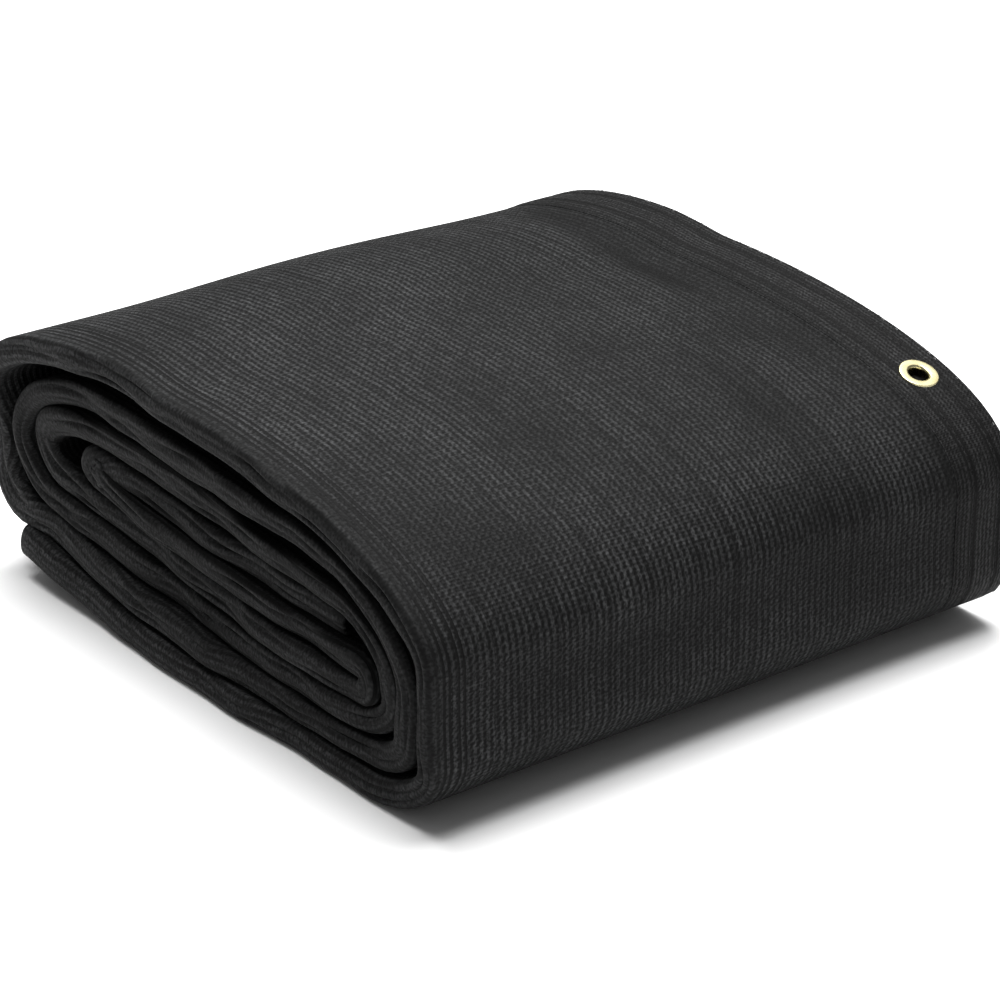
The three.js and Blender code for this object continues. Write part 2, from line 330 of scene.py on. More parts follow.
# %% Two close stations at each end of the hem, where the ply's edge steps
HEM_FROM_HEIGHT = 24.2  # of the band's middle, at the front
HEM_TO_HEIGHT = 124.4  # and at the back
HEM_STEP = 0.12
high_enough = path[:, 1] >= HEM_FROM_HEIGHT
hem_start = even[np.argmax((path[:, 0] < 0) & high_enough)]
low_enough = path[:, 1] <= HEM_TO_HEIGHT
hem_end = even[np.argmax((even > hem_start) & (path[:, 0] > 0) & low_enough)]
hem_steps_at = np.array([hem_start - HEM_STEP, hem_start, hem_end, hem_end + HEM_STEP])
not_near = np.abs(along[:, None] - hem_steps_at).min(axis=1) > SHORTEST
along = np.sort(np.concatenate([along[not_near], hem_steps_at]))
STATIONS = len(along)


def at_stations(column):
    return np.interp(along, even, column)


middle_y, middle_z, pitch, nose = [at_stations(column) for column in path.T]
out_y, out_z = at_stations(-heading[:, 1]), at_stations(heading[:, 0])
print(STATIONS, "stations, hem from", round(hem_start), "to", round(hem_end), "mm along the winding")

# %% [markdown]
# ## Where the tables' frame lies
# The CAD model is centred on its own box, so the tables lie a little off its origin. The eyelet tells by how
# much: its place is known in the tables, and the middles of its brass nodes give its place and its axis in
# the model.

# %% The eyelet's seat
HEM_WIDTH = 38
HEM_THICKNESS = 2.4
HEM_LIFT = 0.6  # how much further out the hem's underside lies than the ply's
CLEARANCE = 0.3
EYELET_ACROSS_Y = -150
EYELET_FROM_EDGE = 20.5
WASHER_THICKNESS = 1.0


def node_middle(name):
    corners = [vertex.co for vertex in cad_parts[name].data.vertices]
    return sum(corners, Vector()) / len(corners)


washer_middle = node_middle("eyelet_washer")
seat_axis = (node_middle("eyelet") - washer_middle).normalized()
seat = washer_middle + seat_axis * (HEM_THICKNESS + CLEARANCE + WASHER_THICKNESS / 2) * MM
shift_x = seat.x / MM - (BUNDLE_DEPTH / 2 - EYELET_FROM_EDGE)
shift_y = seat.y / MM - EYELET_ACROSS_Y
print("tables lie off the frame by", round(shift_x, 2), "and", round(shift_y, 2), "mm")

# %% [markdown]
# ## The folded sheet
# On the real net the cloth is one sheet: the outermost ply goes round the near end into the innermost, that
# goes round the far end into the third, and the third goes round the near end into the second. A cloth
# simulation of nine tight passes would take very long, so the sheet is swept along the winding and its
# unevenness is placed one by one. The near folds wander in and out, carry shallow grooves, lean back on top
# and swell into the gaps beside them. The plies breathe, and the outermost has the soft troughs and ridges
# that the folding left in it.

# %% Unevenness of the folds
FAR_UNEVEN = 5  # how far the inner plies' far edges lie in from the hemmed edge
INNER_FOLD_RECESS = 6  # of a band's inner fold, behind its outer fold
OUTER_TURN = 1150  # the outermost turn ends this far along the winding
LOOSE_END_SOFT = 320  # the lowest pass is pressed on the floor, so it is calmer
LOOSE_END_WAVES = 0.35
NOSE_LEAN = 3  # on top the lower part of a near fold hangs back
OUTER_LEAN = 1
Wave = namedtuple("Wave", "size length shift")
END_WAVES = (Wave(1.3, 230, 0.4), Wave(0.8, 91, 2.1))
NEAR_WAVES = END_WAVES + (Wave(1.6, 317, 1.0), Wave(0.5, 61, 1.3), Wave(0.2, 37, 0.2))


def wave(rows, place):
    return sum(row.size * np.sin(2 * math.pi * place / row.length + row.shift) for row in rows)


calm = lerp(LOOSE_END_WAVES, 1, np.clip(along / LOOSE_END_SOFT, 0, 1))
near = -BUNDLE_DEPTH / 2 + nose + wave(NEAR_WAVES, along) * calm
far = BUNDLE_DEPTH / 2 - FAR_UNEVEN + wave(END_WAVES, along + BUNDLE_DEPTH)
outer = OUTER_PLY * pitch
inner = INNER_PLY * pitch
nose_x = near + SHEET / 2 + outer
far_fold_x = far - SHEET / 2 - inner
lean = np.where(along < OUTER_TURN, OUTER_LEAN, NOSE_LEAN) * np.clip(out_z, 0, 1)
print("near folds lie between", round(near.min(), 1), "and", round(near.max(), 1), "mm")

# %% Room beside each turn, which its near fold swells into
SAME_PLACE, NEXT_TURN = 2, 4  # what lies beside a station, and what is another turn
SWELL_SHARE = 0.44
SWELL_SHARE_APART = 0.12  # the two outer turns stand apart on top and in front
APART_ABOVE, APART_BEFORE = 60, -100
GAP_ABOVE, GAP_BEFORE = 85, -30  # the second and third turns stand apart here
TWO_TURNS = 2050
THREE_TURNS = 2750
SWELL_MOST = 6
SWELL_LOOK = 2  # stations either way over which the least room counts
SWELL_SOFT = 10.0
SWELL_WAVES = (Wave(0.07, 83, 0.2), Wave(0.05, 43, 1.1))
SWELL_WAVES_APART = 30  # so that the two sides of a fold differ


def room_beside(side):
    off_y = path[None, :, 0] - middle_y[:, None]
    off_z = path[None, :, 1] - middle_z[:, None]
    away = side * (off_y * out_y[:, None] + off_z * out_z[:, None])
    aside = np.abs(off_y * out_z[:, None] - off_z * out_y[:, None])
    free = away - outer[:, None] - OUTER_PLY * path[None, :, 2] - SHEET
    nearest = np.where((aside < SAME_PLACE) & (away > NEXT_TURN), free, np.inf).min(axis=1)
    return np.where(np.isfinite(nearest), nearest, 0).clip(0)


def swell_beside(side):
    outer_gap = (middle_z > APART_ABOVE) | (middle_y < APART_BEFORE)
    outer_gap &= along < (OUTER_TURN if side < 0 else TWO_TURNS)
    inner_gap = (middle_z > GAP_ABOVE) & (middle_y < GAP_BEFORE)
    inner_gap &= along < (TWO_TURNS if side < 0 else THREE_TURNS)
    share = np.where(outer_gap | inner_gap, SWELL_SHARE_APART, SWELL_SHARE)
    swell = np.minimum(share * room_beside(side), SWELL_MOST)
    nearby = range(-SWELL_LOOK, SWELL_LOOK + 1)
    lowest = np.min([np.roll(swell, shift) for shift in nearby], axis=0)
    softer = at_stations(soften(np.interp(even, along, lowest)[:, None], SWELL_SOFT)[:, 0])
    return softer * (1 + wave(SWELL_WAVES, along + side * SWELL_WAVES_APART))


# %% Bulges, and the rise at the loose end
Bulge = namedtuple("Bulge", "y z rise length")
BULGES = (Bulge(197, 44, 11, 22), Bulge(118, 92, 12, 24))
LOOSE_END_RISE, LOOSE_END_LENGTH = 5, 28


def bulge_out():
    rise = np.zeros(STATIONS)
    for row in BULGES:
        off_y = middle_y + outer * out_y - row.y
        off_z = middle_z + outer * out_z - row.z
        place = along[np.argmin(np.hypot(off_y, off_z))]
        rise += row.rise * np.exp(-(((along - place) / row.length) ** 2))
    return rise


swell_out = swell_beside(1) + bulge_out()
swell_in = swell_beside(-1) + LOOSE_END_RISE * np.exp(-((along / LOOSE_END_LENGTH) ** 2))
print("near folds swell by up to", round(max(swell_out.max(), swell_in.max()), 1), "mm")

# %% Which stations the hem covers
in_hem = (along >= hem_start) & (along <= hem_end)
hem_inner_x = BUNDLE_DEPTH / 2 - HEM_WIDTH
ply_end = np.where(in_hem, hem_inner_x - CLEARANCE, BUNDLE_DEPTH / 2)
print(int(in_hem.sum()), "stations lie under the hem")

# %% [markdown]
# A crease is a soft trough or ridge on the outermost ply. Its y and z find the nearest station of the outer
# turn and its x the place across the band. It has a length along the winding, a width across it, and a
# depth, which is below nought for a trough. Its depth also paints shade into a trough and light onto a ridge.

# %% Troughs and ridges on the outermost ply
HEM_STILL = 25  # the ply lies still this near to the hem
Crease = namedtuple("Crease", "y z x length width depth")
CREASES = (
    Crease(35, 161, 126, 36, 12, -1.3),
    Crease(-8, 158, 128, 36, 13, -1.3),
    Crease(100, 163, 138, 40, 14, -1.5),
    Crease(-48, 155, 33, 75, 32, -0.6),
    Crease(-73, 152, 112, 30, 18, -0.9),
    Crease(-125, 142, 75, 50, 27, -0.9),
    Crease(-98, 147, 134, 50, 14, -1.2),
    Crease(-160, 130, 66, 32, 26, -0.5),
    Crease(-105, 147, -52, 30, 24, -0.8),
    Crease(-150, 135, -150, 50, 36, -1.3),
    Crease(-166, 127, -110, 25, 22, -0.6),
    Crease(-168, 126, -35, 30, 22, -0.7),
    Crease(-203, 78, 90, 30, 75, -1.0),
    Crease(-203, 74, -60, 18, 120, -0.8),
    Crease(-200, 100, -95, 18, 40, 0.6),
    Crease(60, 162, -60, 60, 40, 0.5),
    Crease(-20, 158, -150, 60, 30, 0.6),
)


def still_by_hem(x):
    return np.clip((ply_end[:, None] - x) / HEM_STILL, 0, 1)


def crease_rise(x):
    rise = np.zeros_like(x)
    for row in CREASES:
        off = np.hypot(middle_y + shift_y - row.y, middle_z + outer - row.z)
        place = along[np.argmin(np.where(along < OUTER_TURN, off, np.inf))]
        down = np.exp(-(((along - place) / row.length) ** 2))[:, None]
        rise += row.depth * down * np.exp(-(((x - row.x) / row.width) ** 2))
    return rise * still_by_hem(x)


print(sum(row.depth < 0 for row in CREASES), "troughs and", sum(row.depth > 0 for row in CREASES), "ridges")

# %% The near fold, with its grooves
NOSE_POINTS = 27
NOSE_FLATTEN = 0.55
Groove = namedtuple("Groove", "depth deeper place wander width")
GROOVES = (
    Groove(1.3, (Wave(0.9, 173, 0.3), Wave(0.7, 67, 1.9)), 24, (Wave(14, 140, 0.6), Wave(9, 59, 2.0)), 15),
    Groove(1.0, (Wave(0.9, 119, 1.4), Wave(0.6, 53, 0.1)), -26, (Wave(13, 163, 2.2), Wave(9, 71, 0.9)), 15),
)


def across(count):
    return np.linspace(0, 1, count)[None, :]


def near_fold():
    angle = lerp(math.radians(270), math.radians(90), across(NOSE_POINTS))
    out = np.abs(np.cos(angle)) ** NOSE_FLATTEN
    pressed = np.clip(along / LOOSE_END_SOFT, 0, 1)
    groove = np.zeros((STATIONS, NOSE_POINTS))
    for row in GROOVES:
        depth = np.clip(row.depth + wave(row.deeper, along), 0, None) * pressed
        off = np.degrees(angle) - 180 - row.place - wave(row.wander, along)[:, None]
        groove += depth[:, None] * np.exp(-((off / row.width) ** 2)) * np.abs(np.cos(angle))
    high = outer + (swell_out + swell_in) / 2
    middle = (swell_out - swell_in) / 2
    x = nose_x[:, None] - outer[:, None] * out + groove + lean[:, None] * (1 - np.sin(angle)) / 2
    return x, middle[:, None] + high[:, None] * np.sin(angle)


print("near fold", NOSE_POINTS, "points round, with", len(GROOVES), "grooves")

# %% The sheet across the band
FREE_PLY_POINTS, THIRD_PLY_POINTS, FOURTH_PLY_POINTS = 9, 9, 14
FOURTH_PLY_CROWD = 0.6  # below 1 its points crowd towards the near fold
SMALL_FOLD_POINTS = 7
NEAR_POINTS, TOP_POINTS = 14, 31
OUTER_POINTS = NEAR_POINTS + TOP_POINTS - 1
NEAR_REACH = 45
SWELL_REACH = 45


def level(n, x):
    return np.broadcast_to(n[:, None], x.shape)


def fold(x, n, radius, start, end, count):
    angle = lerp(math.radians(start), math.radians(end), across(count))
    return x[:, None] + radius[:, None] * np.cos(angle), n[:, None] + radius[:, None] * np.sin(angle)


def eased(part):
    return part * part * (3 - 2 * part)


def swelling(x):
    return eased(np.clip((nose_x[:, None] + SWELL_REACH - x) / SWELL_REACH, 0, 1))


def band_rows():
    inner_nose = nose_x + INNER_FOLD_RECESS
    second = lerp((far - FAR_UNEVEN)[:, None], inner_nose[:, None], across(FREE_PLY_POINTS))
    third = lerp(inner_nose[:, None], far_fold_x[:, None], across(THIRD_PLY_POINTS))
    crowded = across(FOURTH_PLY_POINTS) ** FOURTH_PLY_CROWD
    fourth = lerp(far_fold_x[:, None], (nose_x + lean)[:, None], crowded)
    flank = lerp(nose_x[:, None], nose_x[:, None] + NEAR_REACH, across(NEAR_POINTS))
    top = lerp(nose_x[:, None] + NEAR_REACH, ply_end[:, None], across(TOP_POINTS))
    first = np.hstack([flank, top[:, 1:]])
    start = (second, level(inner, second))
    following = [
        fold(inner_nose, 0 * pitch, inner, 90, 270, SMALL_FOLD_POINTS),
        (third, level(-inner, third)),
        fold(far_fold_x, -pitch, inner, 90, -90, SMALL_FOLD_POINTS),
        (fourth, level(-outer, fourth) - swell_in[:, None] * swelling(fourth)),
        near_fold(),
        (first, level(outer, first) + crease_rise(first) + swell_out[:, None] * swelling(first)),
    ]
    kept = [start] + [(x[:, 1:], n[:, 1:]) for x, n in following]
    return np.hstack([x for x, _ in kept]), np.hstack([n for _, n in kept])


band_x, band_n = band_rows()
print("sheet", band_x.shape[1], "points across")

# %% Let the plies breathe
PLY_WAVES = (Wave(0.22, 130, 0.9), Wave(0.16, 57, 2.4), Wave(0.1, 31, 4.0))
BREATH_ACROSS, BREATH_ALONG = 60, 90
ply_breath = wave(PLY_WAVES, along)[:, None] * np.sin(band_x / BREATH_ACROSS + along[:, None] / BREATH_ALONG)
ply_breath *= still_by_hem(band_x)
band_n = band_n + ply_breath
print("plies breathe by up to", round(np.abs(ply_breath).max(), 2), "mm")

# %% [markdown]
# The top of a soft bundle is a little fuller in the middle than at its two ends. A smooth lift that fades
# towards the ends and downwards gives that, and moves every layer alike, so no layer meets the next.

# %% Place the sheet
DOME_LIFT = 3.6
DOME_MIDDLE = 5
DOME_HALF = 140
DOME_FROM, DOME_TO = 60, 160


def dome(x, z):
    window = np.cos(np.clip((x - DOME_MIDDLE) / DOME_HALF, -1, 1) * math.pi / 2) ** 2
    return DOME_LIFT * window * eased(np.clip((z - DOME_FROM) / (DOME_TO - DOME_FROM), 0, 1))


def placed(x, n):
    y = middle_y[:, None] + n * out_y[:, None] + shift_y
    z = middle_z[:, None] + n * out_z[:, None]
    return np.stack([x + shift_x, y, z + dome(x, z)], axis=-1) * MM


net_surface = placed(band_x, band_n)
print("middle of the sheet reaches", round(net_surface[..., 2].max() / MM, 1), "mm high")

# %% [markdown]
# A sheet is a grid of points with a thickness. Each point is moved half of it to either side, and a rim
# closes the edges. The mesh keeps the cloth's own coordinates as a UV layer, and marks on its points, which
# the shader reads, as point attributes.


# %% Faces of a sheet
def thickened(surface, thickness):
    down = np.gradient(surface, axis=0)
    over = np.gradient(surface, axis=1)
    normal = np.cross(down, over)
    normal /= np.linalg.norm(normal, axis=-1, keepdims=True)
    half = np.broadcast_to(thickness, surface.shape[:2])[..., None] / 2 * MM
    return surface + normal * half, surface - normal * half


def sheet_faces(rows, columns):
    index = np.arange(rows * columns).reshape(rows, columns)
    a, b, c, d = index[:-1, :-1], index[:-1, 1:], index[1:, 1:], index[1:, :-1]
    top_faces = np.stack([a, d, c, b], axis=-1).reshape(-1, 4)
    under = rows * columns
    rim = np.concatenate([index[0, :-1], index[:-1, -1], index[-1, :0:-1], index[:0:-1, 0]])
    after = np.roll(rim, -1)
    rim_faces = np.stack([rim, after, after + under, rim + under], axis=-1)
    return np.concatenate([top_faces, top_faces[:, ::-1] + under, rim_faces])


def face_outwards(mesh):
    shape = bmesh.new()
    shape.from_mesh(mesh)
    if shape.calc_volume(signed=True) < 0:
        bmesh.ops.reverse_faces(shape, faces=shape.faces)
    shape.to_mesh(mesh)
    shape.free()


# %% Mesh of a sheet, and a piece that shows it
def sheet_mesh(name, surface, thickness, cloth_uv, marks):
    upper, lower = thickened(surface, thickness)
    corners = np.concatenate([upper.reshape(-1, 3), lower.reshape(-1, 3)])
    corners[:, 2] = np.maximum(corners[:, 2], 0)
    faces = sheet_faces(*surface.shape[:2])
    mesh = bpy.data.meshes.new(name)
    mesh.from_pydata(corners, [], faces.tolist())
    flat = np.concatenate([cloth_uv.reshape(-1, 2)] * 2)[faces.reshape(-1)]
    mesh.uv_layers.new(name="cloth").data.foreach_set("uv", flat.astype(np.float32).reshape(-1))
    for mark, values in marks.items():
        values = np.tile(np.broadcast_to(values, surface.shape[:2]).reshape(-1), 2)
        mesh.attributes.new(mark, "FLOAT", "POINT").data.foreach_set("value", values.astype(np.float32))
    mesh.polygons.foreach_set("use_smooth", np.ones(len(faces), bool))
    face_outwards(mesh)
    return mesh


def shown_piece(name, mesh, finish):
    piece = linked(name, mesh)
    mesh.materials.append(finish)
    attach(piece, "root")
    print(name, len(mesh.polygons), "faces,", len(mesh.vertices), "vertices")
    return piece


# %% [markdown]
# ## The knit
# The cloth is a warp knit: chains of loops run along the winding as ribs, and laid-in threads join them like
# the rungs of a ladder, with a small hole in each space. The pattern is worked out from the cloth's own
# coordinates, across and along, so it bends round the folds as the real knit does. Modelling every loop
# would take millions of faces, so the relief is a bump, and the holes are painted near black: painted shade
# for the black plies that lie in shadow behind them.
#
# First comes the height of the pattern. Noise lets the loops stray, and makes some yarns thin and dull. The
# mark "folded" says where the knit goes round a near fold, which stretches its pattern flat. A seam is a
# line of thread between two dark grooves.

# %% The knit's place in the cloth
STRAY, STRAY_SCALE = 2.2 * MM, 32.0
YARN_ACROSS, YARN_ALONG = 300.0, 3.0  # yarns differ quickly across, and slowly along


def knit_place(wiring, cloth):
    split = wiring.node("ShaderNodeSeparateXYZ", Vector=cloth)
    flat = {"noise_dimensions": "2D"}
    stray = wiring.node("ShaderNodeTexNoise", flat, Vector=cloth, Scale=STRAY_SCALE, Detail=1.0)
    by = wiring.node("ShaderNodeSeparateColor", Color=stray.outputs["Color"])
    u = wiring.math("MULTIPLY_ADD", by.outputs[0], STRAY, split.outputs["X"])
    v = wiring.math("MULTIPLY_ADD", by.outputs[1], STRAY, split.outputs["Y"])
    return u, v, split.outputs["X"]


def yarn_noise(wiring, u, v):
    x = wiring.math("MULTIPLY", u, YARN_ACROSS)
    y = wiring.math("MULTIPLY", v, YARN_ALONG)
    return wiring.noise(wiring.node("ShaderNodeCombineXYZ", X=x, Y=y).outputs[0], 1.0)


# %% The knit's height
YARN_THIN_TO_FULL = (0.3, 0.44)  # of the noise
RIB_HALF = (0.13, 0.26)  # of a thin and a full yarn, in ribs
RIB_SOFT = 0.14
STROKE = (0.42, 0.08)  # a loop's slanting leg, from its edge to its middle
RUNG = (0.22, 0.03)  # a laid-in thread
STROKE_SHARE, RUNG_SHARE = 0.6, 0.4
WEAVE_SHARE, CHAIN_SHARE = 0.45, 0.55
FOLDED_HEIGHT = 0.45
FOLDED_ROWS, FOLDED_RIBS = 0.3, 0.55  # how much of the pattern is left on a fold
SEAM_HALF = 1.7 * MM
SEAM_GROOVE = (0.4 * MM, 1.0 * MM)


def left_on_folds(wiring, value, share):
    left = wiring.math("MULTIPLY_ADD", wiring.mark("folded"), share - 1, 1.0)
    off = wiring.math("SUBTRACT", value, FOLDED_HEIGHT)
    return wiring.math("MULTIPLY_ADD", off, left, FOLDED_HEIGHT)


def knit_height(wiring, yarns, ribs, rows):
    half = wiring.step(yarns, *YARN_THIN_TO_FULL, *RIB_HALF)
    rib_edges = wiring.math("ADD", half, RIB_SOFT), wiring.math("SUBTRACT", half, RIB_SOFT)
    chain = wiring.step(wiring.math("PINGPONG", ribs, 0.5), *rib_edges)
    slant = wiring.math("SUBTRACT", ribs, rows)
    stroke = wiring.step(wiring.math("PINGPONG", slant, 0.5), *STROKE)
    rung = wiring.step(wiring.math("PINGPONG", rows, 0.25), *RUNG)
    weave = wiring.math("MULTIPLY_ADD", stroke, STROKE_SHARE, wiring.math("MULTIPLY", rung, RUNG_SHARE))
    weave = left_on_folds(wiring, weave, FOLDED_ROWS)
    chain = left_on_folds(wiring, chain, FOLDED_RIBS)
    return wiring.math("MULTIPLY_ADD", weave, WEAVE_SHARE, wiring.math("MULTIPLY", chain, CHAIN_SHARE))


def sewn(wiring, height, straight_u, seams):
    for seam in seams:
        aside = wiring.math("ABSOLUTE", wiring.math("SUBTRACT", straight_u, seam))
        from_groove = wiring.math("ABSOLUTE", wiring.math("SUBTRACT", aside, SEAM_HALF))
        height = wiring.math("MULTIPLY", height, wiring.step(from_groove, *SEAM_GROOVE))
    return height


# %% [markdown]
# Then comes the tone of the yarn. It differs from yarn to yarn, from loop to loop, in soft patches and in
# fine flecks. One mark on the points paints shade into it on the near folds, in the troughs and along the
# hem's inner edge, and paints light where that mark is below nought, as on the ridges. The holes are
# painted near black, a painted shade for the black plies that lie in shadow behind them.

# %% The knit's tone, with painted shade, and its finish
NOISE_RANGE = (0.3, 0.7)  # where most of a noise lies
YARN_TONES = (0.45, 1.0)
LOOP_TONES = (0.72, 0.56)  # the least, and what is added to it by chance
PATCH_SCALE, PATCH_TONES = 18.0, (0.8, 1.2)
FLECK_SCALE, FLECK_TONES = 620.0, (0.4, 1.6)
FLECK_ROUGH = (0.8, 0.66)
HOLE_TO_YARN = (0.1, 0.85)  # of the height
KNIT_SHINE = 0.12


def knit_tone_and_shade(wiring, cloth, yarns, flecks, ribs, rows):
    cell = wiring.node("ShaderNodeCombineXYZ", X=wiring.math("ROUND", ribs), Y=wiring.math("FLOOR", rows))
    loop = wiring.node("ShaderNodeTexWhiteNoise", {"noise_dimensions": "2D"}, Vector=cell.outputs[0])
    least, more = LOOP_TONES
    tone = wiring.step(yarns, *YARN_THIN_TO_FULL, *YARN_TONES)
    for share in (
        # painted shade from a mark on the points; where the mark is below nought it is painted light
        wiring.math("SUBTRACT", 1.0, wiring.mark("shade")),
        wiring.math("MULTIPLY_ADD", loop.outputs["Value"], more, least),
        wiring.step(wiring.noise(cloth, PATCH_SCALE), *NOISE_RANGE, *PATCH_TONES),
        wiring.step(flecks, *NOISE_RANGE, *FLECK_TONES),
    ):
        tone = wiring.math("MULTIPLY", tone, share)
    return tone


def knit_finish(name, rib, row, yarn, gap, relief, seams=()):
    wiring = Wiring(name)
    cloth = wiring.node("ShaderNodeUVMap", {"uv_map": "cloth"}).outputs["UV"]
    u, v, straight_u = knit_place(wiring, cloth)
    ribs = wiring.math("DIVIDE", u, rib)
    rows = wiring.math("DIVIDE", v, row)
    yarns = yarn_noise(wiring, u, v)
    flecks = wiring.noise(cloth, FLECK_SCALE, 1.0)
    height = sewn(wiring, knit_height(wiring, yarns, ribs, rows), straight_u, seams)
    lit = wiring.node("ShaderNodeVectorMath", {"operation": "SCALE"})
    wiring.feed(lit.inputs[0], yarn[:3])
    wiring.feed(lit.inputs["Scale"], knit_tone_and_shade(wiring, cloth, yarns, flecks, ribs, rows))
    bump = wiring.node("ShaderNodeBump", Strength=1.0, Distance=relief, Height=height)
    return wiring.finish(
        Base_Color=wiring.blend(wiring.step(height, *HOLE_TO_YARN), gap, lit.outputs[0]),
        Roughness=wiring.step(flecks, *NOISE_RANGE, *FLECK_ROUGH),
        Specular_IOR_Level=KNIT_SHINE,
        Normal=bump.outputs["Normal"],
    )


# %% Finish of the net
RIB = 4.05 * MM
ROW = 3.7 * MM
NET_YARN = grey(0.0208, 0.02)
# the holes are painted near black: painted shade for the black plies behind them, which lie in shadow
HOLE = grey(0.002)
RELIEF = 0.5 * MM
FOLD_LINES = (-378 * MM, -369 * MM)  # ribs stand apart here, along the near fold
net_finish = knit_finish("black_knit", RIB, ROW, NET_YARN, HOLE, RELIEF, FOLD_LINES)
print("the net's knit takes", len(net_finish.node_tree.nodes), "nodes")

# %% [markdown]
# ## Laying the net
# Shade is painted into the knit's colour on the near folds, more on top of the inner turns, and in the
# troughs and along the hem's inner edge; light is painted on the ridges. A short table gives how much shade
# is painted on the outermost turn's fold, from its loose end up to its top, and where it is below nought it
# paints light.
# The cloth's coordinates are lengths along the winding and across the sheet, measured from the hemmed edge.

# %% Marks on the net: painted shade, and where the knit is folded
# painted shade on each near fold, fading out over FOLD_REACH mm behind it
FOLD_REACH = 9
FOLD_SHADE = 0.3
# painted shade on top of the inner turns' near folds, which lie in the outer turn's shadow
UPPER_FOLD_SHADE = 0.2  # deeper still on top of the inner turns
# painted shade on the outermost turn's near fold, along the winding; below nought it is painted light
OUTER_FOLD_ALONG = (250, 400, 460, 640, 780, 1000, OUTER_TURN)
OUTER_FOLD_SHADE = (-0.25, 0.3, 0.5, 0.5, -0.1, -0.1, FOLD_SHADE)
# painted shade per millimetre of a trough's depth; a ridge gets painted light
CREASE_SHADE = 0.5
# painted shade along the hem's inner edge, in millimetres across the band
HEM_EDGE_SHADE = 0.45
HEM_EDGE_AT, HEM_EDGE_WIDTH = 148, 11


def by_hem_edge(x):
    return HEM_EDGE_SHADE * np.exp(-(((x - HEM_EDGE_AT) / HEM_EDGE_WIDTH) ** 2))


by_fold = np.clip((nose_x[:, None] + FOLD_REACH - band_x) / FOLD_REACH, 0, 1)
# how deep each point lies in a trough, for painted shade; on a ridge it is below nought, for painted light
in_trough = np.zeros_like(band_x)
in_trough[:, -OUTER_POINTS:] = -crease_rise(band_x[:, -OUTER_POINTS:])
fold_shade = np.interp(along, OUTER_FOLD_ALONG, OUTER_FOLD_SHADE)
fold_shade += np.where(along < OUTER_TURN, 0, UPPER_FOLD_SHADE * np.clip(out_z, 0, 1))
# painted shade on the near folds, in the troughs and along the hem's inner edge; below nought, painted light
cloth_shade = fold_shade[:, None] * by_fold + CREASE_SHADE * in_trough
cloth_shade += in_hem[:, None] * by_hem_edge(band_x)
net_marks = {"shade": cloth_shade, "folded": by_fold}
print("shade from", round(cloth_shade.min(), 2), "to", round(cloth_shade.max(), 2))

# %% Lay the net
steps = np.hypot(np.diff(band_x, axis=1), np.diff(band_n, axis=1))
to_edge = np.cumsum(steps[:, ::-1], axis=1)[:, ::-1]
cloth_u = (ply_end - BUNDLE_DEPTH / 2)[:, None] - np.hstack([to_edge, np.zeros((STATIONS, 1))])
cloth_v = np.broadcast_to(along[:, None], cloth_u.shape)
cloth_uv = np.stack([cloth_u, cloth_v], axis=-1) * MM
net_mesh = sheet_mesh("knitted_net", net_surface, SHEET, cloth_uv, net_marks)
net = shown_piece("knitted_net", net_mesh, net_finish)
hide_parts("net")

# %% [markdown]
# ## The hem
# The edge of the net is doubled over and sewn down along two lines. The strip is a thin sheet that runs out
# to the edge, turns in a small fold and runs back, with the lines of sewing drawn in as shallow grooves. Its
# upper layer laps over the net's cut edge and thins out there, so no gap shows between the two.

# %% The hem's section
HEM_PLY = 1.1
HEM_LAYER_POINTS, HEM_FOLD_POINTS = 34, 9
HEM_LAP, HEM_LAP_GAP = 3.6, 0.05
HEM_TAPER, HEM_THIN = 7.0, 0.2
STITCH_LINES = (-9.3, 9.3)  # from the eyelet's middle
GROOVE_DEPTH, GROOVE_WIDTH = 0.45, 1.3

fold_radius = (HEM_THICKNESS - HEM_PLY) / 2
edge_x = BUNDLE_DEPTH / 2 - HEM_PLY / 2 - fold_radius
eyelet_x = BUNDLE_DEPTH / 2 - EYELET_FROM_EDGE
lower_layer = np.linspace(hem_inner_x + HEM_PLY / 2, edge_x, HEM_LAYER_POINTS)
upper_layer = np.linspace(edge_x, hem_inner_x - HEM_LAP, HEM_LAYER_POINTS)
turn = np.linspace(-math.pi / 2, math.pi / 2, HEM_FOLD_POINTS)[1:-1]
hem_x = np.concatenate([lower_layer, edge_x + fold_radius * np.cos(turn), upper_layer])
is_upper = (np.arange(len(hem_x)) >= len(hem_x) - HEM_LAYER_POINTS).astype(float)
taper = eased(np.clip((hem_inner_x + HEM_TAPER - hem_x) / (HEM_LAP + HEM_TAPER), 0, 1) * is_upper)
hem_thickness = lerp(HEM_PLY, HEM_THIN, taper)
lap_n = SHEET - HEM_LIFT + HEM_LAP_GAP + HEM_THIN / 2
hem_n = np.concatenate([
    np.full(HEM_LAYER_POINTS, HEM_PLY / 2),
    HEM_THICKNESS / 2 + fold_radius * np.sin(turn),
    np.full(HEM_LAYER_POINTS, HEM_THICKNESS - HEM_PLY / 2),
])
hem_n = lerp(hem_n, lap_n, taper)
groove = sum(np.exp(-(((hem_x - eyelet_x - line) / GROOVE_WIDTH) ** 2)) for line in STITCH_LINES)
print("hem's section", len(hem_x), "points, from", round(hem_x.min(), 1), "to", round(hem_x.max(), 1), "mm")

# %% Fold the hem
HEM_STATIONS = 300
PUCKER = 0.12
PUCKER_LENGTH, PUCKER_ACROSS = 9.0, 5

